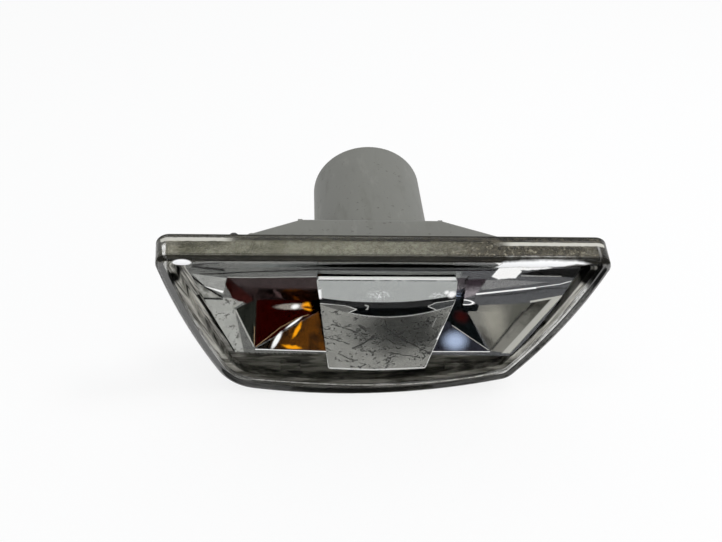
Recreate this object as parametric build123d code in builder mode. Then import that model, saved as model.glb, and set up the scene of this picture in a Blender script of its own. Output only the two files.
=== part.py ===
"""Side repeater lamp: clear lens, grey housing with bulb neck, metallised reflector and shield,
amber wedge bulb in a twist-in holder, and the spring clip that keeps the lamp in the wing.

Millimetres. The origin is on the neck axis in the plane that seats on the body panel.
+X is along the lamp, +Y goes into the car, +Z is up, and the lens faces -Y.
"""

import os
from math import atan, degrees, radians, tan

from build123d import *

# Lens outline on its front edge, seen from outside the car
top_edge_z = 18.5
top_left_x = -50.8
top_right_x = 52.7
bottom_left_x = -36.0
bottom_left_z = -22.8
bottom_right_x = 34.4
bottom_right_z = -20.6
left_side_bow = 1.6
right_side_bow = 2.0
bottom_bow = 4.5
top_corner_radius = 2.6
bottom_left_radius = 12.0
bottom_right_radius = 5.0
least_corner_radius = 0.5

# Lens shell
skirt_depth = 7.0
rim_flare = 0.8
face_depth = 8.0
lens_wall = 2.0
face_wall = 2.0
shoulder_radius = 1.8

# Housing tray, which nests in the lens skirt
weld_gap = 0.15
floor_thickness = 1.5
tray_wall = 1.4
tray_depth = 4.4
floor_block_length = 5.0
floor_block_height = 1.0
floor_block_width = 2.4
floor_block_z = -20.2
floor_block_pitch = 14.0
floor_block_count = 4

# Housing body behind the seat plane
body_left_x = -35.0
body_right_x = 35.6
body_half_height = 15.0
body_left_depth = 4.6
body_right_depth = 3.2
body_depth = 12.6
shoulder_left_x = -18.7
shoulder_right_x = 15.6
body_wall = 1.8
body_edge_radius = 1.5
body_corner_radius = 3.0
shoulder_rib_thickness = 1.1
shoulder_rib_height = 1.3
shoulder_rib_length = 6.0

# Bulb neck
neck_end_y = 45.5
neck_radius = 14.9
neck_bore_radius = 12.5
ledge_y = 34.5
ledge_thickness = 1.5
ledge_bore_radius = 10.7

# Fixed hook at the right end
hook_panel_gap = 2.2
hook_thickness = 1.6
hook_reach = 3.2
hook_half_width = 5.0

# Reflector
reflector_top_z = 14.8
reflector_bottom_left_z = -12.9
reflector_bottom_right_z = -14.3
reflector_left_gap = 6.2
reflector_bottom_left_x = -34.7
reflector_right_gap = 6.5
reflector_bottom_right_x = 34.2
reflector_right_bow = 1.4
reflector_corner_radius = 1.2
reflector_wall = 1.3
reflector_skirt = 1.2
band_crease_y = -3.8
band_tilt = 2.5
crease_z = 0.3
hood_front_y = -5.3
hood_overrun = 1.2
hood_middle_y = -4.0
hood_middle_z = 7.5
hood_back_y = -3.3
hood_plan_radius = 1000.0
hood_centre_x = 3.0
bowl_bottom_left_x = -29.5
bowl_bottom_right_x = 28.8
bowl_bottom_left_z = -11.5
bowl_bottom_right_z = -12.7
bowl_left_x = -34.4
bowl_right_x = 37.2
bowl_apex_y = 8.0
bowl_left_fold_x = -26.6
bowl_right_fold_x = 20.4
bowl_fold_y = 2.0
brow_top_z = 12.2
brow_top_y = -4.4
brow_left_x = -36.2
brow_fold_x = -29.5
brow_right_x = 20.0
brow_back_y = 0.0
bowl_shell = 1.1
bulb_hole_radius = 6.4

# Bulb shield
shield_top_z = 12.0
shield_bottom_z = -17.4
shield_top_left_x = -15.0
shield_top_right_x = 17.2
shield_fold_right_x = 17.8
shield_bottom_left_x = -11.6
shield_bottom_right_x = 12.8
shield_bottom_bow = 0.6
shield_fold_z = 4.2
shield_ledge_z = -1.0
shield_top_y = -5.7
shield_fold_y = -4.6
shield_ledge_y = -3.2
shield_bottom_y = -5.75
shield_dish = 1.1
shield_wall = 0.8
shield_corner_radius = 0.8
shield_leg_spacing = 14.0
shield_leg_centre_x = 0.6
shield_leg_width = 2.4
shield_leg_thickness = 1.3

# Spring clip at the left end
clip_thickness = 0.6
clip_half_width = 13.4
clip_tail = 9.7
clip_bend_from_end = 3.2
clip_flare_reach = 2.2
clip_flare_rise = 2.2
clip_leg_drop = 4.8
clip_leg_reach = 2.2
clip_seat_gap = 0.05
stud_radius = 1.0
stud_head_radius = 1.5
stud_head_height = 0.9
stud_hole_clearance = 0.15
stud_z = 11.6
stud_from_end = 5.8

# Wedge bulb
bulb_tip_y = -0.3
bulb_radius = 5.0
bulb_length = 26.8
bulb_wall = 0.6
wedge_length = 6.3
tip_radius = 1.7
tip_shoulder_radius = 4.1
tip_shoulder = 2.2
tip_length = 4.8
wedge_thickness = 2.1
filament_y = 7.7
filament_radius = 0.45
lead_radius = 0.25
lead_half_spacing = 2.2
lead_fit = 0.03
lead_end_gap = 1.8

# Bulb holder, its terminals and its seal
holder_front_y = 17.5
holder_core_radius = 9.8
holder_flange_radius = 12.1
holder_flange_thickness = 2.0
holder_back_y = 45.0
holder_shroud_radius = 9.5
socket_radius = 5.7
socket_overrun = 1.3
pocket_width = 7.6
pocket_height = 10.2
web_thickness = 4.0
bulb_end_gap = 2.5
well_width = 13.0
well_height = 8.0
lug_count = 3
lug_width = 4.0
lug_height = 1.6
lug_radius = 12.1
lug_gap = 0.2
notch_clearance = 0.5
seal_thickness = 1.5
seal_gap = 0.04
seal_inner_radius = 10.8
seal_outer_radius = 12.1
terminal_thickness = 0.6
terminal_width = 3.0
terminal_blade_x = 3.0
terminal_contact_x = 1.9
terminal_contact_length = 4.5
terminal_back_y = 44.0
terminal_bend_length = 1.6
terminal_slot_clearance = 0.15

outward = (0, -1, 0)


def finish(piece, name):
    """Label a finished piece and write it out."""
    piece.part.label = name
    os.makedirs("parts", exist_ok=True)
    export_step(piece.part, f"parts/{name}.step")


def side_circle(start, end, bow):
    """Centre and radius of the circle that a side's arc lies on, for sides run clockwise."""
    chord = Vector(*end) - Vector(*start)
    radius = chord.length**2 / (8 * bow) + bow / 2
    inwards = Vector(chord.Y, -chord.X).normalized()
    centre = Vector(*start) + chord / 2 + inwards * (radius - bow)
    return (centre.X, centre.Y), radius


def lamp_outline(depth, inset):
    """Outline of the lamp at a depth in front of the seat plane, drawn in by inset."""
    growth = rim_flare * (1 - depth / skirt_depth) - inset
    top_left = (top_left_x, top_edge_z)
    top_right = (top_right_x, top_edge_z)
    bottom_left = (bottom_left_x, bottom_left_z)
    bottom_right = (bottom_right_x, bottom_right_z)
    corners = (
        (top_left, top_corner_radius),
        (top_right, top_corner_radius),
        (bottom_left, bottom_left_radius),
        (bottom_right, bottom_right_radius),
    )
    sides = (
        (top_right, bottom_right, right_side_bow),
        (bottom_right, bottom_left, bottom_bow),
        (bottom_left, top_left, left_side_bow),
    )
    with BuildSketch(Plane.XZ.offset(depth)) as sketch:
        span = 2 * (top_right_x - top_left_x)
        with Locations((0, top_edge_z + growth - span / 2)):
            Rectangle(span, span)
        for start, end, bow in sides:
            centre, radius = side_circle(start, end, bow)
            with Locations(centre):
                Circle(radius + growth, mode=Mode.INTERSECT)
        for corner, radius in corners:
            nearest = sketch.vertices().sort_by_distance(corner)[0]
            fillet(nearest, max(radius + growth, least_corner_radius))
    return sketch.sketch


def drafted_block(front_depth, back_depth, inset):
    """Block between two depths with the lamp's outline, whose sides lean in towards the front."""
    with BuildPart() as block:
        loft([lamp_outline(back_depth, inset), lamp_outline(front_depth, inset)], ruled=True)
    return block.part


# Lens: drafted skirt and flat face, rounded where they meet
draft_angle = degrees(atan(rim_flare / skirt_depth))
with BuildPart() as lens:
    extrude(lamp_outline(0, 0), amount=face_depth, dir=outward, taper=draft_angle)
    fillet(lens.faces().sort_by(Axis.Y)[0].edges(), shoulder_radius)
    core = lamp_outline(0, lens_wall)
    extrude(core, amount=face_depth - face_wall, dir=outward, taper=draft_angle, mode=Mode.SUBTRACT)
finish(lens, "lens")


# Housing body: the part that goes through the panel, with sloping shoulders up to the neck
def body_profile(inset, front_y):
    """Plan of the housing body, drawn in by inset, from front_y to its back."""
    with BuildSketch() as sketch:
        with BuildLine():
            Polyline(
                (body_left_x, front_y),
                (body_left_x, body_left_depth),
                (shoulder_left_x, body_depth),
                (shoulder_right_x, body_depth),
                (body_right_x, body_right_depth),
                (body_right_x, front_y),
                close=True,
            )
        make_face()
        fillet(sketch.vertices().group_by(Axis.Y)[-1], body_corner_radius)
        offset(amount=-inset)
    return sketch.sketch


with BuildPart() as body_block:
    extrude(body_profile(0, -floor_thickness), amount=body_half_height, both=True)
    rims = body_block.faces().filter_by(Axis.Z).edges()
    fillet(rims.filter_by(lambda edge: edge.center().Y > 0), body_edge_radius)

# Seat of the spring clip on the left shoulder
shoulder_run = shoulder_left_x - body_left_x
shoulder_rise = body_depth - body_left_depth
clip_seat = Plane(
    origin=(body_left_x, body_left_depth, 0),
    x_dir=(shoulder_run, shoulder_rise, 0),
    z_dir=(-shoulder_rise, shoulder_run, 0),
)
stud_places = ((stud_from_end, stud_z), (stud_from_end, -stud_z))
stud_height = clip_thickness + 2 * clip_seat_gap

with BuildPart() as housing:
    # Tray
    tray_inset = lens_wall + weld_gap
    add(drafted_block(tray_depth, 0, tray_inset))
    add(drafted_block(2 * tray_depth, floor_thickness, tray_inset + tray_wall), mode=Mode.SUBTRACT)
    # Locating blocks on the tray floor
    with BuildSketch(Plane.XZ.offset(floor_thickness)):
        with Locations((0, floor_block_z)):
            with GridLocations(floor_block_pitch, 0, floor_block_count, 1):
                Rectangle(floor_block_length, floor_block_width)
    extrude(amount=floor_block_height)
    # Body and neck
    add(body_block.part)
    with BuildSketch(Plane.XZ.offset(-neck_end_y)):
        Circle(neck_radius)
    extrude(amount=neck_end_y - body_depth + body_wall)
    # Hollow of the body and bore of the neck
    hollow = body_profile(body_wall, -2 * tray_depth)
    extrude(hollow, amount=body_half_height - body_wall, both=True, mode=Mode.SUBTRACT)
    with BuildSketch(Plane.XZ.offset(-neck_end_y)):
        Circle(neck_bore_radius)
    extrude(amount=neck_end_y - body_depth + 2 * body_wall, mode=Mode.SUBTRACT)
    # Ledge that the holder twists behind, with a notch for each of its lugs
    with BuildSketch(Plane.XZ.offset(-ledge_y - ledge_thickness)):
        Circle(neck_bore_radius + body_wall / 2)
        Circle(ledge_bore_radius, mode=Mode.SUBTRACT)
        with PolarLocations(neck_bore_radius - lug_height, lug_count, start_angle=180 / lug_count):
            Rectangle(2 * lug_height, lug_width + 2 * notch_clearance, mode=Mode.SUBTRACT)
    extrude(amount=ledge_thickness)
    # Short ribs on the shoulders
    rib_top = body_depth + shoulder_rib_height
    with BuildSketch(Plane.XZ.offset(-rib_top)):
        for rib_x in (shoulder_left_x, shoulder_right_x):
            with Locations((rib_x, body_half_height - body_edge_radius - shoulder_rib_length / 2)):
                Rectangle(shoulder_rib_thickness, shoulder_rib_length)
    extrude(amount=shoulder_rib_height + body_wall)
    # Fixed hook at the right end
    with BuildSketch(Plane.XY.offset(-hook_half_width)):
        with BuildLine():
            Polyline(
                (body_right_x - body_wall / 2, hook_panel_gap),
                (body_right_x + hook_reach, hook_panel_gap),
                (body_right_x + hook_reach, hook_panel_gap + hook_thickness / 2),
                (body_right_x + hook_reach / 2, hook_panel_gap + hook_thickness),
                (body_right_x - body_wall / 2, hook_panel_gap + hook_thickness),
                close=True,
            )
        make_face()
    extrude(amount=2 * hook_half_width)
    # Studs that are staked over the spring clip
    with BuildSketch(clip_seat.offset(-body_wall / 2)):
        with Locations(*stud_places):
            Circle(stud_radius)
    extrude(amount=stud_height + body_wall / 2 + stud_head_height / 2)
    with BuildSketch(clip_seat.offset(stud_height)):
        with Locations(*stud_places):
            Circle(stud_head_radius)
    extrude(amount=stud_head_height)
finish(housing, "housing")

# Spring clip: a bent strip on the left shoulder, with a hairpin that bears on the panel
strip_rise = clip_seat_gap + clip_thickness / 2
tail = clip_seat.from_local_coords((clip_tail, 0, strip_rise))
bend = clip_seat.from_local_coords((clip_bend_from_end, 0, strip_rise))
flare = bend + Vector(-clip_flare_reach, clip_flare_rise)
leg_end = flare + Vector(-clip_leg_reach, -clip_leg_drop)
with BuildPart() as retaining_clip:
    with BuildSketch(Plane.XY.offset(-clip_half_width)):
        with BuildLine():
            turns = [(point.X, point.Y) for point in (tail, bend, flare, leg_end)]
            FilletPolyline(*turns, radius=clip_thickness)
        trace(line_width=clip_thickness)
    extrude(amount=2 * clip_half_width)
    with BuildSketch(clip_seat.offset(-clip_thickness)):
        with Locations(*stud_places):
            Circle(stud_radius + stud_hole_clearance)
    extrude(amount=3 * clip_thickness, mode=Mode.SUBTRACT)
finish(retaining_clip, "retaining_clip")


# Reflector: flat side bands under a hollow hood, with a faceted bowl round the bulb
reflector_top_left_x = top_left_x + reflector_left_gap
reflector_top_right_x = top_right_x - reflector_right_gap


def reflector_outline(inset):
    """Outline of the reflector, drawn in by inset."""
    with BuildSketch(Plane.XZ) as sketch:
        with BuildLine():
            top_left = (reflector_top_left_x, reflector_top_z)
            top_right = (reflector_top_right_x, reflector_top_z)
            bottom_right = (reflector_bottom_right_x, reflector_bottom_right_z)
            bottom_left = (reflector_bottom_left_x, reflector_bottom_left_z)
            Line(top_left, top_right)
            SagittaArc(top_right, bottom_right, reflector_right_bow)
            Line(bottom_right, bottom_left)
            Line(bottom_left, top_left)
        make_face()
        fillet(sketch.vertices(), reflector_corner_radius)
        offset(amount=-inset)
    return sketch.sketch


def band_y(z):
    """Depth of the side bands' front plane at a height."""
    return band_crease_y + (z - crease_z) * tan(radians(band_tilt))


reach = 2 * (top_right_x - top_left_x)
with BuildPart() as front_form:
    with BuildSketch(Plane.YZ.offset(-reach / 2)):
        with BuildLine():
            Polyline(
                (band_y(-reach), -reach),
                (band_y(reach), reach),
                (reach, reach),
                (reach, -reach),
                close=True,
            )
        make_face()
    extrude(amount=reach)
    with BuildSketch(Plane.YZ.offset(hood_centre_x)):
        with BuildLine():
            hood = ThreePointArc(
                (hood_front_y, reflector_top_z + hood_overrun),
                (hood_middle_y, hood_middle_z),
                (hood_back_y, crease_z),
            )
            above = 2 * reflector_top_z
            Polyline(hood @ 1, (reach, crease_z), (reach, above), (hood_front_y, above), hood @ 0)
        make_face()
    revolve(axis=Axis((hood_centre_x, hood_front_y + hood_plan_radius, 0), (0, 0, 1)))

with BuildPart() as hollow_form:
    add(front_form.part.moved(Location((0, reflector_wall, 0))))
    extrude(reflector_outline(reflector_skirt), amount=reach, both=True, mode=Mode.INTERSECT)

bowl_corners = [
    Vector(bowl_bottom_left_x, band_y(bowl_bottom_left_z), bowl_bottom_left_z),
    Vector(bowl_bottom_right_x, band_y(bowl_bottom_right_z), bowl_bottom_right_z),
    Vector(bowl_right_x, band_y(crease_z), crease_z),
    Vector(bowl_left_x, band_y(crease_z), crease_z),
]
bottom_left, bottom_right, right, left = bowl_corners
right_fold = Vector(bowl_right_fold_x, bowl_fold_y, crease_z)
left_fold = Vector(bowl_left_fold_x, bowl_fold_y, crease_z)
apex = Vector(0, bowl_apex_y, crease_z)
bowl_facets = [
    (bottom_left, bottom_right, apex),
    (bottom_right, right_fold, apex),
    (bottom_right, right, right_fold),
    (bottom_left, apex, left_fold),
    (bottom_left, left_fold, left),
    (left, left_fold, apex, right_fold, right),
    (bottom_left, bottom_right, right, left),
]
with BuildPart() as bowl:
    add(Solid(Shell([Face(Wire.make_polygon(corners)) for corners in bowl_facets])))
    mouth = Face(Wire.make_polygon(bowl_corners))
    extrude(mouth, amount=bowl_shell, dir=outward)

brow_front_y = -2 * face_depth
brow_floor = (
    (bowl_left_x, brow_front_y),
    (bowl_left_x, band_y(crease_z)),
    (brow_fold_x, brow_back_y),
    (brow_right_x, brow_back_y),
    (brow_right_x, brow_front_y),
)
brow_top = (
    (brow_left_x, brow_front_y),
    (brow_left_x, brow_top_y - bowl_shell / 2),
    (brow_left_x + bowl_shell / 2, brow_top_y),
    (brow_right_x, brow_top_y),
    (brow_right_x, brow_front_y),
)
with BuildPart() as brow:
    for height, corners in ((crease_z, brow_floor), (brow_top_z, brow_top)):
        with BuildSketch(Plane.XY.offset(height)):
            with BuildLine():
                Polyline(*corners, close=True)
            make_face()
    loft(ruled=True)

with BuildPart() as bowl_back:
    add(bowl.part.moved(Location((0, bowl_shell, 0))))
    add(brow.part.moved(Location((0, bowl_shell, 0))))
    add(front_form.part, mode=Mode.INTERSECT)

with BuildPart() as reflector:
    extrude(reflector_outline(0), amount=2 * face_depth, dir=outward)
    extrude(reflector_outline(0), amount=floor_thickness, dir=outward, mode=Mode.SUBTRACT)
    add(front_form.part, mode=Mode.INTERSECT)
    add(hollow_form.part, mode=Mode.SUBTRACT)
    add(bowl_back.part)
    add(bowl.part, mode=Mode.SUBTRACT)
    add(brow.part, mode=Mode.SUBTRACT)
    with BuildSketch(Plane.XZ.offset(-2 * bowl_apex_y)):
        Circle(bulb_hole_radius)
    extrude(amount=2 * bowl_apex_y - bulb_tip_y + bulb_hole_radius - bulb_radius, mode=Mode.SUBTRACT)
finish(reflector, "reflector")


# Bulb shield: a thin cap in front of the bulb, whose upper facet folds back under itself to a
# ledge, and whose lower facet is dished at the top and flat at the bottom
shield_left_x = shield_top_left_x - shield_wall
shield_right_x = shield_fold_right_x + shield_wall
shield_span = shield_right_x - shield_left_x
dish_x = (shield_left_x + shield_right_x) / 2
with BuildPart() as shield_form:
    with BuildSketch(Plane.YZ.offset(shield_left_x)):
        with BuildLine():
            Polyline(
                (shield_top_y, shield_top_z),
                (shield_fold_y, shield_fold_z),
                (shield_ledge_y, shield_ledge_z),
                (face_depth, shield_ledge_z),
                (face_depth, shield_top_z),
                close=True,
            )
        make_face()
    extrude(amount=shield_span)
    with BuildSketch(Plane.XY.offset(shield_fold_z)) as dished_edge:
        with BuildLine():
            corner = (shield_left_x, shield_fold_y)
            edge = ThreePointArc(
                corner,
                (dish_x, shield_fold_y + shield_dish),
                (shield_right_x, shield_fold_y),
            )
            Polyline(edge @ 1, (shield_right_x, face_depth), (shield_left_x, face_depth), corner)
        make_face()
    with BuildSketch(Plane.XY.offset(shield_bottom_z - shield_bottom_bow)) as flat_edge:
        with Locations((dish_x, (shield_bottom_y + face_depth) / 2)):
            Rectangle(shield_span, face_depth - shield_bottom_y)
    loft([dished_edge.sketch, flat_edge.sketch], ruled=True)

with BuildPart() as bulb_shield:
    with BuildSketch(Plane.XZ) as shield_outline:
        with BuildLine():
            top_left = (shield_top_left_x, shield_top_z)
            bottom_right = (shield_bottom_right_x, shield_bottom_z)
            bottom_left = (shield_bottom_left_x, shield_bottom_z)
            right_fold_corner = (shield_fold_right_x, shield_fold_z)
            Polyline(top_left, (shield_top_right_x, shield_top_z), right_fold_corner, bottom_right)
            SagittaArc(bottom_right, bottom_left, shield_bottom_bow)
            Line(bottom_left, top_left)
        make_face()
        fillet(shield_outline.vertices(), shield_corner_radius)
    extrude(amount=face_depth, both=True)
    add(shield_form.part, mode=Mode.INTERSECT)
    add(shield_form.part.moved(Location((0, shield_wall, 0))), mode=Mode.SUBTRACT)
    # Legs that stand on the tray floor below the reflector
    with BuildSketch(Plane.XZ.offset(floor_thickness)):
        with Locations((shield_leg_centre_x, shield_bottom_z + shield_leg_thickness)):
            with GridLocations(shield_leg_spacing, 0, 2, 1):
                Rectangle(shield_leg_width, shield_leg_thickness)
    extrude(amount=-shield_bottom_y - floor_thickness - shield_wall / 2)
finish(bulb_shield, "bulb_shield")

# Wedge bulb
bulb_end_y = bulb_tip_y + bulb_length
pinch_y = bulb_end_y - wedge_length
globe_end_y = pinch_y - bulb_radius / 2
lead_places = ((0, lead_half_spacing), (0, -lead_half_spacing))


with BuildPart() as bulb_glass:
    with BuildSketch():
        with BuildLine():
            Polyline(
                (0, bulb_tip_y),
                (tip_radius, bulb_tip_y),
                (tip_shoulder_radius, bulb_tip_y + tip_shoulder),
                (bulb_radius, bulb_tip_y + tip_length),
                (bulb_radius, bulb_end_y),
                (0, bulb_end_y),
                close=True,
            )
        make_face()
    revolve(axis=Axis.Y)
    # Pinch the tube's end flat
    with BuildSketch():
        with BuildLine():
            Polyline(
                (0, bulb_tip_y - bulb_wall),
                (bulb_radius, bulb_tip_y - bulb_wall),
                (bulb_radius, globe_end_y),
                (wedge_thickness / 2, pinch_y),
                (wedge_thickness / 2, bulb_end_y),
                (0, bulb_end_y),
                close=True,
            )
        make_face()
        mirror(about=Plane.YZ)
    extrude(amount=bulb_radius, both=True, mode=Mode.INTERSECT)
    # Hollow of the globe
    with BuildSketch():
        hollow_radius = bulb_radius - bulb_wall
        hollow_tip_y = bulb_tip_y + bulb_wall
        with BuildLine():
            Polyline(
                (0, hollow_tip_y),
                (tip_radius, hollow_tip_y),
                (hollow_radius, bulb_tip_y + tip_length),
                (hollow_radius, globe_end_y),
                (0, globe_end_y),
                close=True,
            )
        make_face()
    revolve(axis=Axis.Y, mode=Mode.SUBTRACT)
    with BuildSketch(Plane.XZ.offset(-bulb_end_y)):
        with Locations(*lead_places):
            Circle(lead_radius + lead_fit)
    extrude(amount=bulb_end_y - globe_end_y + bulb_wall, mode=Mode.SUBTRACT)
finish(bulb_glass, "bulb_glass")

filament_half_length = lead_half_spacing - lead_radius
with BuildPart() as bulb_filament:
    with BuildSketch(Plane.XY.offset(-filament_half_length)):
        with Locations((0, filament_y)):
            Circle(filament_radius)
    extrude(amount=2 * filament_half_length)
finish(bulb_filament, "bulb_filament")

# Lead wires: from the filament through the pinch, each folded back along its own side of the wedge
lead_fold_x = wedge_thickness / 2 + lead_radius + lead_fit
for name, side in (("bulb_lead_upper", 1), ("bulb_lead_lower", -1)):
    fold_y = bulb_end_y + lead_radius + lead_fit
    with BuildPart() as lead:
        with BuildLine(Plane.XY.offset(side * lead_half_spacing)) as wire:
            Polyline(
                (0, filament_y - filament_radius),
                (0, fold_y),
                (side * lead_fold_x, fold_y),
                (side * lead_fold_x, pinch_y + lead_end_gap),
            )
        with BuildSketch(Plane(wire.line @ 0, z_dir=wire.line % 0)):
            Circle(lead_radius)
        sweep(transition=Transition.RIGHT)
    finish(lead, name)

# Bulb holder: core with the bulb's pocket in front and the plug's well behind
seal_y = ledge_y + ledge_thickness + seal_gap
flange_y = seal_y + seal_thickness + seal_gap
socket_end_y = pinch_y + socket_overrun
web_front_y = bulb_end_y + bulb_end_gap
web_back_y = web_front_y + web_thickness
terminal_front_y = bulb_end_y - terminal_contact_length
terminal_shift_z = lead_half_spacing - terminal_width / 3
with BuildPart() as bulb_holder:
    with BuildSketch(Plane.XZ.offset(-holder_back_y)):
        Circle(holder_shroud_radius)
    extrude(amount=holder_back_y - flange_y)
    with BuildSketch(Plane.XZ.offset(-flange_y - holder_flange_thickness)):
        Circle(holder_flange_radius)
    extrude(amount=holder_flange_thickness)
    with BuildSketch(Plane.XZ.offset(-flange_y)):
        Circle(holder_core_radius)
    extrude(amount=flange_y - holder_front_y)
    # Lugs behind the neck's ledge
    with BuildSketch(Plane.XZ.offset(lug_gap - ledge_y)):
        with PolarLocations(holder_core_radius / 2 + lug_radius / 2, lug_count):
            Rectangle(lug_radius - holder_core_radius + lug_height, lug_width)
        Circle(lug_radius, mode=Mode.INTERSECT)
    extrude(amount=lug_height)
    # Socket for the glass and pocket for the wedge and its contacts
    with BuildSketch(Plane.XZ.offset(-socket_end_y)):
        Circle(socket_radius)
    extrude(amount=socket_end_y - holder_front_y, mode=Mode.SUBTRACT)
    with BuildSketch(Plane.XZ.offset(-web_front_y)):
        Rectangle(pocket_width, pocket_height)
    extrude(amount=web_front_y - holder_front_y, mode=Mode.SUBTRACT)
    # Well for the plug, and a slot through the web for each terminal
    with BuildSketch(Plane.XZ.offset(-holder_back_y)):
        Rectangle(well_width, well_height)
    extrude(amount=holder_back_y - web_back_y, mode=Mode.SUBTRACT)
    with BuildSketch(Plane.XZ.offset(-web_back_y)):
        for side in (1, -1):
            with Locations((side * terminal_blade_x, side * terminal_shift_z)):
                Rectangle(
                    terminal_thickness + 2 * terminal_slot_clearance,
                    terminal_width + 2 * terminal_slot_clearance,
                )
    extrude(amount=web_thickness, mode=Mode.SUBTRACT)
finish(bulb_holder, "bulb_holder")

# Terminals: a blade in the well, bent in to press on the bulb's lead
for name, side in (("terminal_upper", 1), ("terminal_lower", -1)):
    bend_y = web_front_y - terminal_bend_length
    with BuildPart() as terminal:
        with BuildSketch(Plane.XY.offset(side * terminal_shift_z - terminal_width / 2)):
            with BuildLine():
                Polyline(
                    (side * terminal_blade_x, terminal_back_y),
                    (side * terminal_blade_x, web_front_y),
                    (side * terminal_contact_x, bend_y),
                    (side * terminal_contact_x, terminal_front_y),
                )
            trace(line_width=terminal_thickness)
        extrude(amount=terminal_width)
    finish(terminal, name)

# Seal between the holder's flange and the neck's ledge
with BuildPart() as holder_seal:
    with BuildSketch(Plane.XZ.offset(-seal_y - seal_thickness)):
        Circle(seal_outer_radius)
        Circle(seal_inner_radius, mode=Mode.SUBTRACT)
    extrude(amount=seal_thickness)
finish(holder_seal, "holder_seal")
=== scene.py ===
"""Looks of the side repeater lamp: clear lens, worn chrome in it, grey housing, amber bulb."""

from math import cos, radians, sin

import bpy
from mathutils import Matrix, Vector


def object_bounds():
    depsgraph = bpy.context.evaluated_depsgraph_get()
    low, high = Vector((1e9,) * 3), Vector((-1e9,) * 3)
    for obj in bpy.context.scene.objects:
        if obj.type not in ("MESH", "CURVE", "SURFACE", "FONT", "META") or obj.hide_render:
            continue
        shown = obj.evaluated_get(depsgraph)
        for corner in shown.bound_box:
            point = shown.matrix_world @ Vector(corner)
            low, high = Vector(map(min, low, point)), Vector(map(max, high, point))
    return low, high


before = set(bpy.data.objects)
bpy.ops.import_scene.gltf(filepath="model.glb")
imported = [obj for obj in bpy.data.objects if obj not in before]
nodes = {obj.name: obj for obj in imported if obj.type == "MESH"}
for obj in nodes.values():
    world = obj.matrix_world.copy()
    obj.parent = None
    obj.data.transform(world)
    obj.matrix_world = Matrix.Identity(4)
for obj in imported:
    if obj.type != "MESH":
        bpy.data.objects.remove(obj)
cad_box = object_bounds()

MM = 0.001

# faces of the lamp in mm: y runs into the car, z up
LENS_FACE_Y = -8.0
LENS_BACK_Y = -6.0
TRAY_LIP_Y = -4.4
TRAY_TOP_Z = 16.0

ACRYLIC_IOR = 1.49
BULB_IOR = 1.5


def linear(shown):
    """Light that gives a display value, both 0 to 1, by the sRGB curve."""
    return ((shown + 0.055) / 1.055) ** 2.4 if shown > 0.04 else shown / 12.92


def tone(red, green, blue):
    """Colour written as a picture shows it, 0 to 255, in the linear values shaders take."""
    return (*[linear(part / 255) for part in (red, green, blue)], 1.0)


# white of the painted highlights and black of the painted dark reflections in the chrome
HIGHLIGHT_WHITE = tone(255, 255, 254)
REFLECTED_BLACK = tone(9, 9, 8)


class Value:
    """A shader socket that Python arithmetic works on: each operation adds its Math node."""

    def __init__(self, tree, socket):
        self.tree = tree
        self.socket = socket

    def node(self, kind, inputs, output=0, **settings):
        """Add a node with its settings, then its inputs, and return one of its outputs."""
        made = self.tree.nodes.new(kind)
        for name, setting in settings.items():
            setattr(made, name, setting)
        for name, given in inputs.items():
            target = made.inputs[name]
            if isinstance(given, Value):
                self.tree.links.new(given.socket, target)
            else:
                target.default_value = given
        return Value(self.tree, made.outputs[output])

    def math(self, operation, *others):
        """Add a Math node on this value and the others."""
        return self.node("ShaderNodeMath", dict(enumerate((self, *others))), operation=operation)

    def __add__(self, other):
        return self.math("ADD", other)

    def __sub__(self, other):
        return self.math("SUBTRACT", other)

    def __rsub__(self, other):
        return self.math("MULTIPLY_ADD", -1.0, other)

    def __mul__(self, other):
        return self.math("MULTIPLY", other)

    __radd__ = __add__
    __rmul__ = __mul__

    def __abs__(self):
        return self.math("ABSOLUTE")

    def __or__(self, other):
        """The larger of two values: where either of two masks is."""
        return self.math("MAXIMUM", other)

    def step(self, low, high):
        """Smooth rise from 0 at low to 1 at high."""
        ends = {"Value": self, "From Min": low, "From Max": high}
        return self.node("ShaderNodeMapRange", ends, interpolation_type="SMOOTHSTEP")

    def blend(self, low, high):
        """Colour that goes from low to high as this value goes from 0 to 1."""
        colours = {"Factor": self, 6: low, 7: high}
        return self.node("ShaderNodeMix", colours, output=2, data_type="RGBA")

    def axis(self, index):
        """One of the X, Y and Z parts of these coordinates."""
        return self.node("ShaderNodeSeparateXYZ", {"Vector": self}, output=index)

    def stretched(self, scale):
        """These coordinates scaled along each axis."""
        return self.node("ShaderNodeMapping", {"Vector": self, "Scale": scale})

    def noise(self, size, detail=3.0, roughness=0.55):
        """Cloudy noise from 0 to 1, with clouds of about the given size."""
        values = {"Vector": self, "Scale": 1 / size, "Detail": detail, "Roughness": roughness}
        return self.node("ShaderNodeTexNoise", values)


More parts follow.
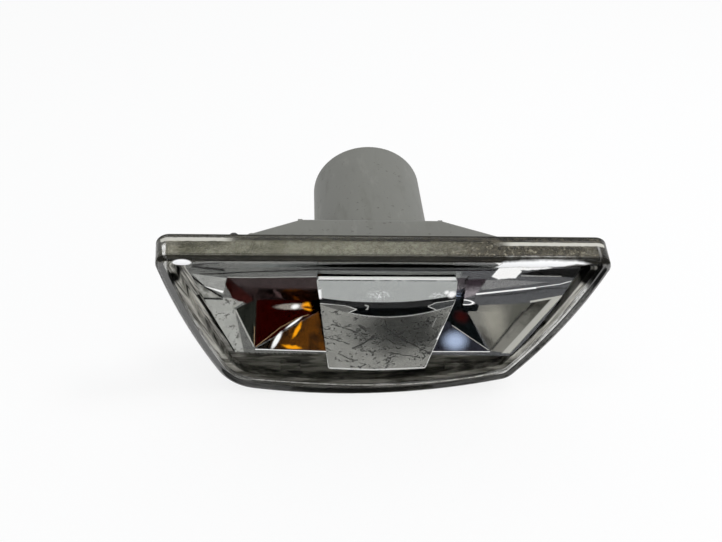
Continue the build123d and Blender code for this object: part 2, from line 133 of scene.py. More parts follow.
class Front:
    """The lamp as seen from the front, x to the right and z up in mm, for drawing masks on."""

    def __init__(self, x, z):
        self.x = x
        self.z = z

    def warped(self, here, size, reach):
        """This front pushed about by noise, so that edges drawn on it wander."""
        swing = 3 * reach  # noise keeps within about a third of its range
        along = (here.noise(size) - 0.5) * swing
        across = (here.stretched((-1.0, -1.0, -1.0)).noise(size) - 0.5) * swing
        return Front(self.x + along, self.z + across)

    def along(self, way, level):
        """Distance in a direction, from a level."""
        return self.x.math("MULTIPLY_ADD", way.x, self.z.math("MULTIPLY_ADD", way.y, -level))

    def walls(self):
        """Coordinates across and, slowly, along the two slanting side walls."""
        wall = Vector((0.91, 0.42))
        slow = 0.07
        out = abs(self.x)
        across, along = out * wall.x - self.z * wall.y, out * wall.y + self.z * wall.x
        return self.x.node("ShaderNodeCombineXYZ", {0: across, 1: along * slow})

    def patch(self, corners, soft=0.2):
        """1 inside a convex patch, its corners anticlockwise."""
        outside = None
        for start, end in zip(corners, corners[1:] + corners[:1]):
            start, end = Vector(start), Vector(end)
            right = Vector((end.y - start.y, start.x - end.x)).normalized()
            off = self.along(right, right.dot(start))
            outside = off if outside is None else outside | off
        return 1 - outside.step(-soft, soft)

    def stroke(self, points, width, soft=0.08):
        """1 along a bent line through points."""
        outside = None
        for start, end in zip(points, points[1:]):
            start, end = Vector(start), Vector(end)
            run, middle = end - start, (start + end) / 2
            way = run.normalized()
            right = Vector((way.y, -way.x))
            ends = abs(self.along(way, way.dot(middle))) - run.length / 2
            sides = abs(self.along(right, right.dot(middle))) - width / 2
            off = ends | sides
            outside = off if outside is None else outside.math("MINIMUM", off)
        return 1 - outside.step(-soft, soft)

    def spot(self, centre, radii, soft=0.3, tilt=0.0):
        """1 inside an ellipse, fading over its rim; tilt turns it anticlockwise, in degrees."""
        off = []
        for turn, radius in zip((tilt, tilt + 90), radii):
            way = Vector((cos(radians(turn)), sin(radians(turn)))) / radius
            off.append(self.along(way, way.dot(Vector(centre))))
        away = off[0].math("MULTIPLY_ADD", off[0], off[1] * off[1]).math("SQRT")
        return 1 - away.step(1 - soft, 1 + soft)


class Paint:
    """A colour that masks are laid over, one after another."""

    def __init__(self, colour):
        self.colour = colour

    def lay(self, mask, over):
        """Lay a colour over the last one where the mask is 1."""
        self.colour = mask.blend(self.colour, over)


def start_finish(name):
    """A new empty material, and the coordinates, in mm, of the object that wears it."""
    material = bpy.data.materials.new(name)
    material.use_nodes = True
    tree = material.node_tree
    tree.nodes.clear()
    metres = Value(tree, tree.nodes.new("ShaderNodeTexCoord").outputs["Object"])
    return material, metres.stretched((1 / MM, 1 / MM, 1 / MM))


def end_finish(material, shader):
    """Send a shader to the material's surface."""
    tree = material.node_tree
    tree.links.new(shader.socket, tree.nodes.new("ShaderNodeOutputMaterial").inputs["Surface"])
    return material


def principled(here, inputs):
    """The main surface shader with the given inputs."""
    return here.node("ShaderNodeBsdfPrincipled", inputs)


def matt_dirt_and_light(here, colour):
    """A dry, matt coat that hardly shines, so that its darks stay dark: grimy film, and light and
    shade painted in the same coat.
    """
    return principled(here, {"Base Color": colour, "Roughness": 0.8, "Specular IOR Level": 0.1})


def mixed(here, share, first, second):
    """The second shader over the first, by its share."""
    return here.node("ShaderNodeMixShader", {0: share, 1: first, 2: second})


def pass_shadows(here, body, colour):
    """A clear body that lets light through to what is behind it, in a colour."""
    clear = here.node("ShaderNodeBsdfTransparent", {"Color": colour})
    return mixed(here, here.node("ShaderNodeLightPath", {}, output="Is Shadow Ray"), body, clear)


def bumped(height, strength, distance):
    """Surface normal raised by a height, the distance in mm."""
    values = {"Height": height, "Strength": strength, "Distance": distance * MM}
    return height.node("ShaderNodeBump", values)


def stained_plastic(here):
    """Bare plastic of the housing's outside, with faint stains and dark specks."""
    cloud = here.noise(11.0, 4.0)
    fine = here.noise(0.4, 2.0)
    stains = here.stretched((1.0, 0.3, 1.0)).noise(3.5, 5.0, 0.65)
    specks = here.noise(1.4, 3.0, 0.7).step(0.64, 0.69)
    paint = Paint(cloud.blend(tone(99, 99, 94), tone(113, 114, 108)))
    paint.lay(stains.step(0.52, 0.75) * 0.4, tone(80, 80, 71))
    paint.lay((1 - stains.step(0.28, 0.44)) * 0.35, tone(128, 128, 122))
    paint.lay(specks * 0.7, tone(66, 65, 57))
    return principled(here, {
        "Base Color": paint.colour,
        "Roughness": cloud * 0.15 + 0.45,
        "Normal": bumped(fine, 0.2, 0.05),
    })


def tray_grime_and_light(here, y, front):
    """Grime of the tray inside the lens, with painted light and shade: blotched on its top,
    streaked on its lip and bed, a painted shadow beside the reflector, painted shade in the upper
    corners and a painted highlight under the top.
    """
    x, z = front.x, front.z
    loose = front.warped(here, 2.0, 0.35)
    blotch = here.stretched((0.7, 0.6, 1.0)).noise(4.0, 5.0, 0.65)
    blots = blotch.step(0.35, 0.65)
    streak = front.walls().noise(1.0, 4.0, 0.65).step(0.38, 0.6)
    layers = here.stretched((0.12, 1.0, 1.0)).noise(1.2, 4.0, 0.65).step(0.4, 0.62)

    # top: moss on the left, dark soil and pale crumbs on the right
    top = z.step(TRAY_TOP_Z, TRAY_TOP_Z + 0.3)
    paint = Paint(blotch.blend(tone(101, 100, 89), tone(128, 127, 115)))
    moss = blotch.step(0.4, 0.6) * (1 - x.step(-34.0, -4.0))
    paint.lay(top * moss * 0.8, tone(58, 57, 39))
    paint.lay(top * x.step(10.0, 26.0) * 0.9, blots.blend(tone(62, 57, 46), tone(34, 30, 21)))
    pale = (1 - x.step(-45.6, -44.8)) | x.step(46.0, 47.0)
    pale |= y.step(-1.2, -0.7) * x.step(26.0, 30.0)
    paint.lay(top * pale * 0.7, blots.blend(tone(186, 183, 173), tone(110, 107, 96)))
    crumbs = here.noise(0.9, 3.0, 0.7).step(0.56, 0.63) * x.step(12.0, 22.0)
    paint.lay(top * crumbs * 0.8, tone(190, 184, 166))

    # bed and lip, streaked down the sides and layered along the bottom
    under_top = 1 - top
    low = 1 - z.step(-17.0, -14.0)
    upper = z.step(14.2, 14.8)
    lip = (1 - y.step(TRAY_LIP_Y + 0.04, TRAY_LIP_Y + 0.4)) * under_top
    bed = (1 - lip) * (1 - upper)
    blocks = here.stretched((0.35, 1.0, 1.0)).noise(2.4, 2.0).step(0.5, 0.58)
    paint.lay(bed, streak.blend(tone(52, 51, 46), tone(250, 248, 240)))
    paint.lay(bed * x.step(20.0, 36.0) * 0.7, tone(48, 47, 42))
    paint.lay(lip, streak.blend(tone(84, 83, 76), tone(216, 214, 206)))
    paint.lay(low * under_top, layers.blend(tone(58, 58, 51), tone(108, 107, 99)))
    paint.lay(bed * low * blocks * 0.6, tone(14, 14, 11))
    paint.lay(lip * low * 0.8, layers.blend(tone(84, 83, 76), tone(150, 148, 140)))
    corners = loose.spot((-35.0, -15.0), (3.2, 3.6), 0.6)
    corners |= loose.spot((27.5, -16.0), (5.0, 2.6), 0.6)
    paint.lay(corners * under_top * 0.7, layers.blend(tone(96, 95, 88), tone(186, 184, 176)))
    right_end = lip * x.step(38.0, 41.0)
    paint.lay(right_end * 0.9, streak.blend(tone(150, 148, 140), tone(226, 224, 217)))
    paint.lay(lip * upper, blotch.blend(tone(18, 17, 13), tone(34, 32, 25)))

    # painted shadow beside the reflector, painted shade in the dark upper corners, a painted
    # highlight under the top
    gap_shadow = front.stroke([(-42.4, 3.4), (-38.4, -6.8), (-35.0, -14.0)], 0.8, 0.2)
    paint.lay(gap_shadow, tone(24, 24, 21))
    shaded_corners = loose.spot((-46.9, 11.2), (1.4, 1.6), 0.4) | loose.spot((48.4, 12.0), (2.4, 2.6), 0.3)
    paint.lay(shaded_corners, tone(10, 10, 8))
    gleam = loose.patch([(29.0, 14.6), (46.0, 15.2), (44.0, 16.3), (28.0, 16.2)])
    paint.lay(gleam, tone(252, 252, 250))
    return matt_dirt_and_light(here, paint.colour)


def grey_plastic():
    """Grey moulded plastic, bare outside and grimy in the tray inside the lens, with light and
    shade painted there too.
    """
    material, here = start_finish("grey_plastic")
    x, y, z = (here.axis(index) for index in range(3))
    inside = 1 - y.step(-0.6, 0.2)
    outer = stained_plastic(here)
    grime_and_light = tray_grime_and_light(here, y, Front(x, z))
    return end_finish(material, mixed(here, inside, outer, grime_and_light))


def clear_acrylic():
    """Clear acrylic: hazed face, grimy streaks mixed with painted light and shade in its skirt,
    painted shade and highlights along its shoulder and lower corner, a dark weld line round its
    rim.
    """
    material, here = start_finish("clear_acrylic")
    x, y, z = (here.axis(index) for index in range(3))
    front = Front(x, z)
    loose = front.warped(here, 3.0, 0.25)
    haze = here.noise(7.0, 4.0)
    grain = here.noise(1.1, 4.0, 0.7)
    rings = here.stretched((0.06, 1.0, 0.06)).noise(0.5, 4.0, 0.65).step(0.4, 0.6)
    streak = (front.walls().noise(0.9, 4.0, 0.7) * 0.6 + rings * 0.4).step(0.36, 0.62)

    # clear body: the flat face and back only refract, the shoulder and skirt reflect as well
    dull = haze.step(0.5, 0.8) * 0.03 + 0.004
    gloss = principled(here, {
        "Base Color": tone(250, 250, 248),
        "Roughness": dull,
        "IOR": ACRYLIC_IOR,
        "Specular Tint": (0.25, 0.25, 0.25, 1),
        "Transmission Weight": 1.0,
    })
    pane = here.node("ShaderNodeBsdfRefraction", {
        "Color": tone(253, 253, 253),
        "Roughness": dull,
        "IOR": ACRYLIC_IOR,
    })
    back = 1 - abs(y - LENS_BACK_Y).step(0.04, 0.08)
    flat = (1 - y.step(LENS_FACE_Y + 0.05, LENS_FACE_Y + 0.1)) | back
    through = pass_shadows(here, mixed(here, flat, gloss, pane), tone(240, 241, 238))

    # where the grimy film and the painted light and shade lie
    low = 1 - z.step(-20.0, -16.0)
    rim = (y + low * 1.2).step(-0.6, -0.35)
    skirt = y.step(LENS_BACK_Y + 0.04, LENS_BACK_Y + 0.14) * (1 - rim)
    sides = 1 - z.step(12.0, 15.0)
    strip = 1 - abs(grain * 0.6 + y + x.step(-20.0, 20.0) * 0.8 + 1.3).step(0.45, 0.7)
    pale = z.step(18.3, 18.6) * strip * (x.step(24.0, 30.0) | 1 - x.step(-36.0, -31.0))
    # painted dark line of shade along the shoulder
    shoulder = z.step(17.2, 17.5) * y.step(-7.8, -7.6) * (1 - y.step(-6.6, -6.2))
    # painted highlight along the skirt's corner with the face, from the middle rightwards
    corner_highlight = sides * (1 - (y - x.step(26.0, 40.0) * 0.9).step(-5.3, -5.0)) * x.step(-34.0, -10.0)
    # dark corners at the top ends, painted shade
    shaded_corners = front.spot((50.8, 12.4), (3.0, 5.0), 0.4) | front.spot((-48.2, 10.8), (1.9, 3.0), 0.4)

    # pale line of painted highlight and a dark hem on the back, along the lower wall, which bows
    # down in the middle
    bow, skew, lowest = 0.0035, 0.00003, -23.15
    above_wall = z - x * x * (x * skew + bow) - lowest
    out = abs(x)
    hem = back * (1 - above_wall.step(-0.35, -0.15)) * (1 - out.step(30.0, 34.0))
    line = back * (1 - abs(above_wall).step(0.1, 0.3)) * (1 - out.step(28.0, 34.0))

    # painted white highlights on the shoulder, a small one on the left and a long one on the right
    gleam = front.spot((-44.2, 17.5), (2.1, 0.6), 0.15)
    gleam |= loose.patch([
        (24.6, 16.7), (38.0, 16.9), (46.4, 17.8), (45.0, 18.1), (34.0, 18.3), (26.4, 17.9),
    ], 0.25)
    gleam = gleam * (1 - y.step(-7.0, -6.9))

    left_soil = grain.blend(tone(92, 90, 72), tone(140, 137, 120))
    right_soil = grain.step(0.3, 0.7).blend(tone(30, 27, 18), tone(112, 106, 91))
    paint = Paint(x.step(-20.0, 15.0).blend(left_soil, right_soil))
    side_streak = streak * 0.7 + grain.step(0.4, 0.65) * 0.3
    # skirt: grimy streaks mixed with painted light and dark lines
    paint.lay(sides, side_streak.blend(tone(30, 29, 25), tone(226, 224, 216)))
    paint.lay(sides * low, rings.blend(tone(52, 52, 45), tone(112, 111, 103)))
    paint.lay(sides * (1 - z.step(-26.2, -25.6)), tone(58, 57, 51))
    paint.lay(corner_highlight * 0.9, grain.blend(tone(150, 148, 141), tone(240, 238, 231)))
    paint.lay(shaded_corners, tone(10, 10, 8))
    paint.lay(pale, tone(212, 210, 201))
    paint.lay(shoulder, rings.blend(tone(6, 6, 4), tone(28, 26, 20)))
    paint.lay(hem, rings.blend(tone(42, 41, 36), tone(78, 77, 70)))
    paint.lay(line, grain.step(0.35, 0.6).blend(tone(150, 148, 141), tone(246, 244, 237)))
    paint.lay(rim, tone(50, 49, 44))
    paint.lay(gleam, tone(255, 255, 255))
    dirt_and_light = matt_dirt_and_light(here, paint.colour)

    # how much of the clear body the grimy film and the painted light and shade hide
    thin = streak * (1 - low) | rings * low * 0.6 | corner_highlight
    film = (0.92 - thin * 0.7) * sides
    soil = grain.step(0.4, 0.7) * (x.step(5.0, 20.0) * 0.25 + 0.4)
    dirt_and_light_cover = skirt * (film | shaded_corners * 0.95 | soil)
    dirt_and_light_cover |= rim * 0.85 | shoulder * 0.9 | pale * 0.8 | gleam | hem * 0.75 | line * 0.75
    return end_finish(material, mixed(here, dirt_and_light_cover, through, dirt_and_light))


def paint_hood(paint, front, loose, mottle, streaks):
    """Hood over the bowl in painted reflection tones: streaked, with painted dark reflections
    running along it.
    """
    x, z = front.x, front.z
    paint.lay(streaks.step(0.48, 0.7) * 0.55, tone(66, 68, 67))
    upper = x.step(-30.0, -15.0).blend(tone(112, 117, 115), tone(64, 66, 64))
    paint.lay(z.step(14.3, 14.5), upper)
    middle = front.patch([(-14.0, 11.0), (18.0, 11.0), (18.0, 13.5), (-14.0, 13.5)], 0.5)
    paint.lay(middle, tone(124, 126, 124))
    left = front.patch([(-43.0, 11.4), (-40.5, 7.8), (-36.3, 5.4), (-35.6, 8.0), (-35.3, 10.3)])
    paint.lay(left, mottle.blend(tone(126, 127, 124), tone(184, 185, 181)))
    right = front.patch([(22.6, 10.6), (23.9, 7.0), (28.1, 7.6), (38.9, 9.4), (30.4, 10.4)])
    paint.lay(right, tone(128, 128, 128))
    lines = front.stroke([
        (-41.1, 11.4), (-38.0, 11.6), (-29.9, 12.6), (-18.7, 13.6), (-11.0, 14.1),
    ], 0.4, 0.12)
    lines |= front.stroke([(-12.0, 14.0), (0.0, 14.05), (27.0, 13.9)], 0.55, 0.15)
    lines |= loose.stroke([(-42.8, 13.9), (-40.0, 13.5), (-35.5, 12.9)], 0.7, 0.25)
    paint.lay(lines * 0.85, REFLECTED_BLACK)


def paint_bands(paint, here, front, loose, mottle):
    """Hazed bands at the reflector's two ends in painted reflection tones, a painted highlight
    along the right one's rail; gives back the mask of where they are.
    """
    corner = front.patch([(-43.8, 11.0), (-41.3, 4.3), (-36.6, 4.3), (-40.3, 7.6)])
    paint.lay(corner, mottle.step(0.35, 0.65).blend(tone(96, 97, 92), tone(172, 172, 166)))
    left = front.patch([(-41.0, 4.0), (-34.4, -12.8), (-30.2, -12.6), (-33.8, 0.2), (-34.2, 3.6)])
    left |= loose.patch([(-37.0, 4.6), (-36.7, 1.5), (-33.2, 0.9), (-31.5, 1.3), (-33.9, 4.1)])
    paint.lay(left, mottle.blend(tone(152, 153, 148), tone(196, 197, 192)))
    flakes = here.noise(1.3, 4.0, 0.75).step(0.5, 0.6) * mottle.step(0.4, 0.54)
    paint.lay(left * flakes * 0.8, tone(62, 62, 58))
    right = front.patch([(28.9, -12.6), (34.0, -13.6), (43.6, 5.4), (36.5, 2.9)])
    shade = (front.z * 0.07 + mottle).step(-0.2, 1.0)
    paint.lay(right, shade.blend(tone(132, 131, 124), tone(42, 41, 37)))
    rail = front.patch([(31.9, -13.4), (33.9, -13.4), (43.7, 5.3), (41.4, 4.8)])
    rail |= front.stroke([(36.1, 3.3), (41.7, 4.6), (43.5, 5.1)], 0.6)
    paint.lay(rail, tone(188, 187, 180))
    return left | corner | right


def paint_bowl_left(paint, here, front, loose, cloud, streaks):
    """Bowl left of the cap, with the amber bulb's reflection painted red and amber into it."""
    x, z = front.x, front.z
    roof = loose.patch([
        (-35.7, 8.4), (-34.2, 3.9), (-31.2, 0.4), (-12.0, 0.2), (-12.0, 10.9), (-35.0, 10.4),
    ], 0.12)
    paint.lay(roof, (streaks * 4.0 + z).step(5.0, 10.0).blend(tone(48, 8, 5), tone(32, 8, 6)))
    side = front.patch([(-33.7, 0.4), (-29.5, -11.3), (-27.4, -3.3), (-28.8, 0.4)], 0.1)
    paint.lay(side, cloud.blend(tone(24, 26, 22), tone(42, 44, 39)))
    rear = front.patch([(-29.0, 0.3), (-29.5, -11.4), (-12.0, -4.4), (-12.0, 0.3)], 0.1)
    paint.lay(rear, tone(34, 2, 1))
    floor = front.patch([(-29.5, -11.6), (-12.0, -12.5), (-12.0, -4.5)], 0.1)
    paint.lay(floor, x.step(-29.0, -16.0).blend(tone(20, 18, 13), tone(44, 28, 16)))
    amber = floor * x.step(-27.0, -19.0) * here.noise(3.0, 3.0).step(0.3, 0.6)
    paint.lay(amber * 0.5, tone(112, 66, 14))
    orange = loose.spot((-19.3, -8.5), (1.5, 0.42), 0.5, 50.0)
    orange |= loose.spot((-20.5, -11.4), (2.1, 0.34), 0.5, -8.0)
    paint.lay(orange, tone(250, 164, 22))

    # the bulb's painted reflection in the rear wall, white at its middle and amber at its right end
    paint.lay(front.spot((-20.3, -3.3), (4.2, 0.7), 0.3, -7.0) * 0.9, tone(146, 140, 132))
    paint.lay(front.spot((-19.8, -3.4), (0.9, 0.5), 0.6), HIGHLIGHT_WHITE)
    paint.lay(front.spot((-16.0, -3.9), (2.2, 0.95), 0.3, -14.0), tone(246, 160, 24))
    paint.lay(loose.spot((-16.8, -4.1), (1.2, 0.26), 0.6, -12.0), tone(112, 58, 12))


def paint_bowl_right(paint, front, loose, mottle):
    """Bowl right of the cap in painted reflections: a blue-white sheen on its floor, a pale wall
    and a bright eye.
    """
    x, z = front.x, front.z
    floor = front.patch([(12.0, -12.6), (28.7, -12.8), (12.0, -3.9)], 0.1)
    paint.lay(floor, tone(40, 41, 48))
    # painted blue-white reflection on the floor
    blue_white_reflection = front.spot((20.0, -10.8), (2.5, 1.4), 0.75)
    paint.lay(floor * blue_white_reflection, tone(172, 188, 216))
    rear = front.patch([(12.0, -4.0), (28.5, -12.5), (22.8, -3.9), (20.3, 0.3), (12.0, 0.3)], 0.1)
    paint.lay(rear, tone(12, 16, 17))
    paint.lay(front.spot((21.2, -5.2), (1.3, 1.2), 0.9) * 0.7, tone(62, 14, 12))
    corner = front.patch([(17.0, -1.0), (22.4, -4.0), (24.2, 1.4), (23.4, 2.6), (17.0, 2.2)], 0.25)
    paint.lay(corner, tone(18, 21, 22))
    wall = front.patch([(28.9, -12.5), (36.4, 2.9), (24.0, 2.2), (22.7, -3.9)], 0.15)
    fall = (x * 0.08 + mottle - 2.4).step(0.0, 1.0)
    paint.lay(wall, fall.blend(tone(122, 121, 115), tone(84, 84, 77)))
    pale = loose.spot((28.6, -3.4), (2.6, 5.6), 0.7, 12.0)
    paint.lay(wall * pale * 0.5, tone(178, 175, 163))
    dim = loose.spot((27.8, -10.6), (1.2, 3.4), 0.8, 26.0)
    paint.lay(wall * dim * 0.8, tone(62, 61, 57))
    roof = loose.patch([(17.0, 3.0), (22.9, 5.6), (24.4, 11.0), (17.0, 10.6)], 0.3)
    shade = (z + mottle * 2.0).step(7.0, 10.0)
    paint.lay(roof, shade.blend(tone(140, 134, 138), tone(50, 42, 47)))
    paint.lay(front.spot((20.2, 3.1), (2.5, 0.85), 0.12, -6.0), HIGHLIGHT_WHITE)
    paint.lay(front.spot((20.0, 3.12), (2.05, 0.58), 0.12, -6.0), tone(92, 94, 95))


def paint_folds(paint, front, loose):
    """Folds of the metal: painted dark reflections and shade along them, then painted highlights on
    their edges.
    """
    dark = loose.patch([(31.6, 12.4), (38.0, 11.6), (46.5, 10.6), (47.0, 14.4), (37.0, 13.9)], 0.12)
    dark |= front.stroke([(-41.5, 4.0), (-34.7, -12.6)], 0.7)
    dark |= front.stroke([(-44.5, 11.8), (-42.2, 9.6), (-40.4, 7.6), (-36.4, 4.3)], 0.4)
    dark |= front.stroke([(-41.6, 4.0), (-36.4, 3.9)], 0.4)
    dark |= front.stroke([(23.7, 4.9), (31.8, 5.7), (38.7, 7.3), (45.5, 7.6)], 0.3, 0.15) * 0.8
    dark |= front.stroke([(29.1, -12.2), (33.4, -3.6), (37.0, 3.0)], 0.5, 0.3) * 0.7
    paint.lay(dark, REFLECTED_BLACK)
    edge = front.stroke([(-33.7, 0.2), (-31.9, -5.1), (-29.8, -11.0)], 0.28)
    edge |= front.stroke([(19.2, -7.9), (28.4, -12.5)], 0.22)
    edge |= front.stroke([(32.2, 11.8), (42.0, 11.4)], 0.25)
    edge |= front.stroke([(-35.0, 10.6), (-25.0, 10.8), (-15.0, 11.2)], 0.25)
    paint.lay(edge * 0.85, tone(178, 178, 173))
    thin = front.stroke([
        (-29.4, -11.2), (-26.4, -9.5), (-23.5, -7.7), (-19.1, -6.1), (-16.5, -5.7),
    ], 0.2)
    thin |= front.stroke([(-29.6, -6.0), (-29.7, -10.6)], 0.2)
    paint.lay(thin * 0.8, tone(150, 128, 98))
    light = front.patch([(-40.6, 7.75), (-36.4, 5.7), (-36.1, 6.3)], 0.1)
    light |= front.stroke([(22.7, 5.6), (36.8, 7.6)], 0.5)
    light |= front.stroke([(36.7, 7.7), (42.3, 8.7), (46.3, 10.2)], 0.18)
    light |= front.stroke([(-29.5, -11.9), (-12.0, -12.7)], 0.24)
    light |= front.stroke([(12.0, -12.8), (28.8, -12.9)], 0.24)
    light |= front.spot((-24.3, -10.2), (1.8, 0.5), 0.4, 50.0)
    light |= front.spot((-20.2, -7.1), (2.0, 0.26), 0.5, 28.0)
    light |= loose.patch([
        (25.3, 11.8), (27.0, 10.7), (31.2, 11.0), (31.9, 13.0), (31.0, 15.4), (26.8, 15.4),
    ])
    light |= loose.patch([(30.0, 12.4), (37.0, 14.0), (47.0, 14.6), (46.0, 16.0), (29.0, 16.0)])
    paint.lay(light, HIGHLIGHT_WHITE)


def reflector_chrome():
    """Metallised plastic, its reflections painted into its colour: hazed side bands, a streaked
    hood, the amber bulb's reflection painted red and amber in the bowl.
    """
    material, here = start_finish("reflector_chrome")
    x, z = here.axis(0), here.axis(2)
    front = Front(x, z)
    loose = front.warped(here, 2.5, 0.3)
    cloud = here.noise(6.0, 4.0)
    mottle = here.noise(2.2, 4.0, 0.6)
    streaks = here.stretched((0.06, 1.0, 1.0)).noise(0.5, 3.0)
    # every colour laid on this chrome is painted reflection, light and shade: the tones it shows in
    # its surroundings
    paint = Paint(x.step(-30.0, 6.0).blend(tone(108, 109, 106), tone(88, 89, 91)))
    paint_hood(paint, front, loose, mottle, streaks)
    dull = paint_bands(paint, here, front, loose, mottle)
    paint_bowl_left(paint, here, front, loose, cloud, streaks)
    paint_bowl_right(paint, front, loose, mottle)
    paint_folds(paint, front, loose)
    shader = principled(here, {
        "Base Color": paint.colour,
        "Metallic": 1.0,
        "Roughness": cloud * 0.06 + dull * 0.25 + 0.05,
    })
    return end_finish(material, shader)


def shield_flakes(here, front, loose, fine):
    """Where the cap's chrome has flaked off or is scratched through."""
    ridge = abs(here.stretched((0.5, 1.0, 1.0)).noise(2.4, 5.0, 0.65) - 0.5)
    flaked = (1 - ridge.step(0.008, 0.03)) * here.noise(5.0, 2.0).step(0.46, 0.54)
    specks = here.noise(0.7, 2.0, 0.6).step(0.6, 0.66)
    flaked |= specks * here.noise(4.0, 2.0).step(0.46, 0.56)
    flaked |= front.stroke([(-5.9, -10.9), (-3.5, -9.6), (-2.1, -8.4), (-0.6, -7.1)], 0.42, 0.12)
    flaked |= loose.stroke([
        (1.6, -2.4), (2.6, -5.0), (5.7, -7.7), (8.8, -9.6), (14.0, -12.8),
    ], 0.26)
    broken = fine.step(0.36, 0.5)
    for trail in (
        [(-11.0, -3.1), (-8.1, -4.5), (-5.2, -5.8), (-2.4, -6.8)],
        [(-13.0, -7.0), (-9.9, -8.1), (-6.5, -9.5)],
        [(-0.7, -7.5), (2.8, -8.3), (4.8, -9.8)],
        [(-9.3, -12.4), (-6.3, -14.4), (-4.3, -14.7)],
        [(-4.6, -3.6), (-3.6, -4.8), (-2.6, -5.6)],
        [(3.0, -12.2), (9.0, -13.4), (12.2, -14.0)],
        [(10.4, -11.0), (12.4, -13.4), (11.6, -14.6)],
    ):
        flaked |= loose.stroke(trail, 0.3, 0.14) * broken
    return flaked


def paint_ledge(paint, front, loose, ledge, ledge_low):
    """Ledge between the cap's two faces, painted black as reflected shade, with painted light on
    its ends and its lower edge.
    """
    paint.lay(ledge, tone(8, 10, 11))
    wedge = front.patch([(-15.5, 3.4), (-13.0, 0.5), (-7.3, 0.1), (-5.4, 1.0), (-8.1, 2.2)], 0.15)
    paint.lay(ledge * wedge, tone(98, 98, 95))
    eye = front.patch([(11.7, 2.1), (13.6, 1.0), (18.0, 1.7), (18.0, 4.7), (13.3, 3.5)], 0.12)
    paint.lay(ledge * eye, tone(64, 66, 66))
    lines = front.stroke([(17.6, 4.7), (13.2, 3.6), (11.6, 2.1), (14.0, 1.0)], 0.24)
    lines |= front.stroke([(-14.0, 3.3), (-8.1, 2.3), (-5.3, 1.0), (-7.4, 0.0)], 0.24)
    lines |= loose.stroke([(-3.4, 2.7), (-2.6, 1.9), (-2.9, 0.9)], 0.4) * 0.7
    low_edge = (1 - abs(front.z - ledge_low).step(0.08, 0.2)) * front.x.step(-8.0, -6.0)
    paint.lay(ledge * lines | low_edge * 0.7, tone(190, 191, 188))


def paint_cap_edges(paint, front):
    """Painted highlights on the cap's edges, brightest along its top."""
    rim = front.stroke([(-15.3, 12.2), (-15.0, 4.2), (-14.8, 2.0), (-11.9, -17.2)], 0.9, 0.2)
    rim |= front.stroke([(-12.0, -17.2), (0.0, -17.85), (13.0, -17.2)], 0.45)
    rim |= front.stroke([(17.6, 12.0), (18.0, 4.3), (12.9, -17.2)], 0.5)
    paint.lay(rim, tone(208, 209, 206))
    bright = front.stroke([(-15.3, 12.0), (17.6, 11.95)], 0.5)
    bright |= front.stroke([(-14.3, 8.2), (-14.1, 5.0)], 0.9, 0.3)
    bright |= front.spot((16.6, 6.7), (0.9, 1.1), 0.5)
    bright |= front.spot((15.3, 7.4), (0.5, 0.6), 0.6)
    bright |= front.stroke([(16.2, -3.6), (15.0, -8.0)], 0.8, 0.2)
    paint.lay(bright, tone(255, 255, 255))


def shield_chrome():
    """Chromed cap, its reflections painted into its colour: clean above its ledge, which is painted
    black as reflected shade, worn through and scratched below.
    """
    material, here = start_finish("shield_chrome")
    x, z = here.axis(0), here.axis(2)
    front = Front(x, z)
    loose = front.warped(here, 1.4, 0.35)
    cloud = here.noise(5.0, 4.0)
    fine = here.noise(0.7, 4.0, 0.7)

    # the ledge's two edges, each bowed down in the middle
    ledge_top = x * x * 0.0085 + 3.75
    ledge_low = (x - 2.0) * (x - 2.0) * 0.0176 - 1.35
    above_low = (z - ledge_low).step(-0.12, 0.12)
    ledge = (1 - (z - ledge_top).step(-0.15, 0.15)) * above_low
    worn = 1 - above_low

    # clean face in painted reflection tones, smeared here and there, with a painted dark reflection
    # under its top edge
    paint = Paint(cloud.blend(tone(166, 169, 167), tone(175, 178, 176)))
    smear = loose.spot((-0.4, 6.4), (2.4, 1.4), 0.5) | loose.spot((13.2, 6.4), (1.6, 1.0), 0.7)
    paint.lay(smear * fine.step(0.48, 0.58) * 0.7, tone(222, 224, 224))
    fold = front.stroke([(-14.4, 11.5), (17.2, 11.4)], 0.26)
    paint.lay(fold * here.noise(3.0, 2.0).step(0.34, 0.46) * 0.85, tone(36, 38, 38))

    # worn face, with painted shade dimming its middle
    paint.lay(worn, cloud.blend(tone(126, 126, 121), tone(156, 156, 151)))
    dim = front.warped(here, 6.0, 2.0).spot((6.0, -4.9), (11.2, 7.2), 0.6)
    paint.lay(worn * dim * 0.9, tone(42, 43, 41))
    flaked = worn * shield_flakes(here, front, loose, fine)
    paint.lay(flaked * 0.95, tone(20, 20, 18))
    paint.lay(worn * front.stroke([(13.9, -1.2), (13.2, -4.0)], 0.2), tone(150, 150, 147))

    paint_ledge(paint, front, loose, ledge, ledge_low)
    paint_cap_edges(paint, front)
    # the top edge is matt white, not metal, so that it shows as a painted highlight
    white_top = z.step(11.8, 11.95)
    shader = principled(here, {
        "Base Color": paint.colour,
        "Metallic": 1 - (flaked * 0.9 | white_top),
        "Roughness": cloud * 0.06 + worn * 0.08 + flaked * 0.3 + 0.06,
        "Normal": bumped(flaked, 0.3, -0.03),
    })
    return end_finish(material, shader)


def bright_metal(name, colour, roughness):
    """Drawn or stamped metal with a faint tarnish."""
    material, here = start_finish(name)
    haze = here.noise(4.0, 4.0)
    fine = here.noise(0.5, 3.0, 0.6)
    tarnish = (*[part * 0.7 for part in colour[:3]], 1.0)
    shader = principled(here, {
        "Base Color": haze.step(0.4, 0.75).blend(colour, tarnish),
        "Metallic": 1.0,
        "Roughness": fine * 0.12 + roughness,
    })
    return end_finish(material, shader)


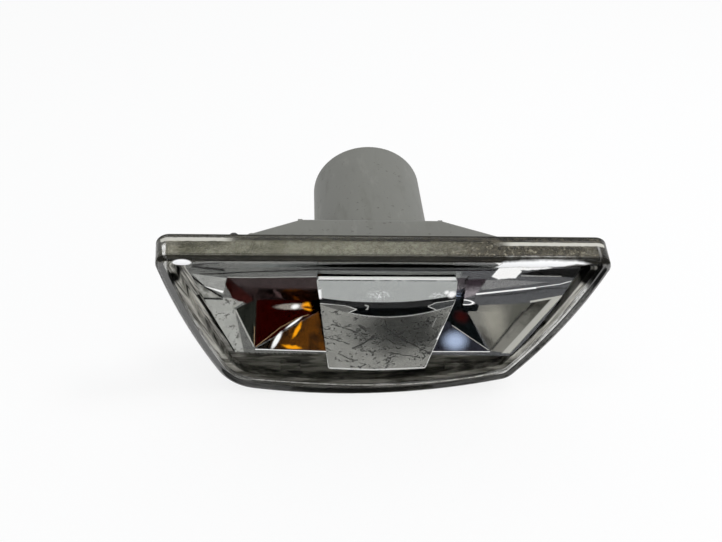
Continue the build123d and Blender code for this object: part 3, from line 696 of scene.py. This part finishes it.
def amber_glass():
    """Bulb glass with a thin amber coat."""
    material, here = start_finish("amber_glass")
    coat = here.noise(3.0, 3.0)
    glass = principled(here, {
        "Base Color": coat.blend((1.0, 0.33, 0.02, 1), (1.0, 0.42, 0.05, 1)),
        "Roughness": coat * 0.08 + 0.03,
        "IOR": BULB_IOR,
        "Transmission Weight": 1.0,
    })
    return end_finish(material, pass_shadows(here, glass, (1.0, 0.42, 0.06, 1)))


def dark_moulding(name, colour, roughness):
    """Dark plastic, rubber or painted steel with dust in its grain."""
    material, here = start_finish(name)
    cloud = here.noise(7.0, 4.0)
    fine = here.noise(0.35, 2.0)
    dust = cloud.step(0.5, 0.8) * fine * 0.25
    shader = principled(here, {
        "Base Color": dust.blend(colour, tone(120, 116, 104)),
        "Roughness": cloud * 0.2 + roughness,
        "Normal": bumped(fine, 0.25, 0.05),
    })
    return end_finish(material, shader)


def dress(names, material):
    """Give CAD nodes a finish."""
    for name in names:
        slots = nodes[name].data.materials
        slots.clear()
        slots.append(material)


wires = ["bulb_filament", "bulb_lead_upper", "bulb_lead_lower"]
blades = ["terminal_upper", "terminal_lower"]
dress(["lens"], clear_acrylic())
dress(["housing"], grey_plastic())
dress(["reflector"], reflector_chrome())
dress(["bulb_shield"], shield_chrome())
dress(["retaining_clip"], dark_moulding("black_steel", tone(22, 22, 22), 0.3))
dress(["bulb_glass"], amber_glass())
dress(wires, bright_metal("bright_wire", tone(200, 196, 188), 0.2))
dress(["bulb_holder"], dark_moulding("black_plastic", tone(34, 34, 34), 0.4))
dress(blades, bright_metal("stamped_brass", tone(222, 190, 120), 0.22))
dress(["holder_seal"], dark_moulding("black_rubber", tone(28, 28, 28), 0.6))


def seen_by_eye(here):
    """1 for what the eye sees, straight, in mirrors or through clear plastic."""
    seen = 0.0
    for kind in ("Is Camera Ray", "Is Glossy Ray", "Is Transmission Ray"):
        seen = here.node("ShaderNodeLightPath", {}, output=kind) | seen
    return seen


def lay_floor():
    """Floor just under the lens's lowest edge, seen most of the way to white."""
    width, gap_shadow, white_share = 6.0, 0.2 * MM, 0.8
    low = cad_box[0][2]
    bpy.ops.object.select_all(action="DESELECT")
    bpy.ops.mesh.primitive_plane_add(size=width, location=(0, 0, low - gap_shadow))
    floor = bpy.context.object
    floor.name = "floor"
    bpy.ops.object.transform_apply(location=True, rotation=True, scale=True)
    material, here = start_finish("white_floor")
    matt = here.node("ShaderNodeBsdfDiffuse", {"Color": (0.9, 0.9, 0.9, 1)})
    white = here.node("ShaderNodeEmission", {"Color": (1, 1, 1, 1)})
    shader = mixed(here, seen_by_eye(here) * white_share, matt, white)
    floor.data.materials.append(end_finish(material, shader))


def light_studio():
    """Soft boxes overhead, in an even pale surround that is seen as white."""
    world = bpy.data.worlds.new("surround")
    bpy.context.scene.world = world
    world.use_nodes = True
    tree = world.node_tree
    tree.nodes.clear()
    empty = Value(tree, None)
    pale = empty.node("ShaderNodeBackground", {"Color": (0.66, 0.67, 0.68, 1)})
    white = empty.node("ShaderNodeBackground", {"Color": (1, 1, 1, 1)})
    surround = mixed(empty, seen_by_eye(empty), pale, white)
    tree.links.new(surround.socket, tree.nodes.new("ShaderNodeOutputWorld").inputs["Surface"])
    size = 0.16
    for place, power in (((-0.15, -0.08, 0.6), 0.4), ((0.3, 0.0, 0.55), 1.4)):
        bpy.ops.object.light_add(type="AREA", location=place)
        lamp = bpy.context.object
        lamp.data.size = size
        lamp.data.energy = power
        lamp.rotation_euler = (-Vector(place)).to_track_quat("-Z", "Y").to_euler()


def set_camera():
    """Camera where the photograph was taken from."""
    right = Vector((0.9972282, -0.05370125, 0.05149853))
    up = Vector((-0.00485447, 0.64371427, 0.76525053))
    ahead = Vector((0.07424525, 0.76337941, -0.64166932))
    place = Vector((-18.34, -143.35, 129.28)) * MM
    bpy.ops.object.camera_add()
    camera = bpy.context.object
    turn = Matrix((right, up, -ahead)).transposed()
    camera.matrix_world = Matrix.Translation(place) @ turn.to_4x4()
    camera.data.sensor_width = 36.0
    camera.data.lens = 39.889
    camera.data.clip_start = 0.01
    bpy.context.scene.camera = camera


lay_floor()
light_studio()
set_camera()
bpy.context.scene.view_settings.view_transform = "Standard"
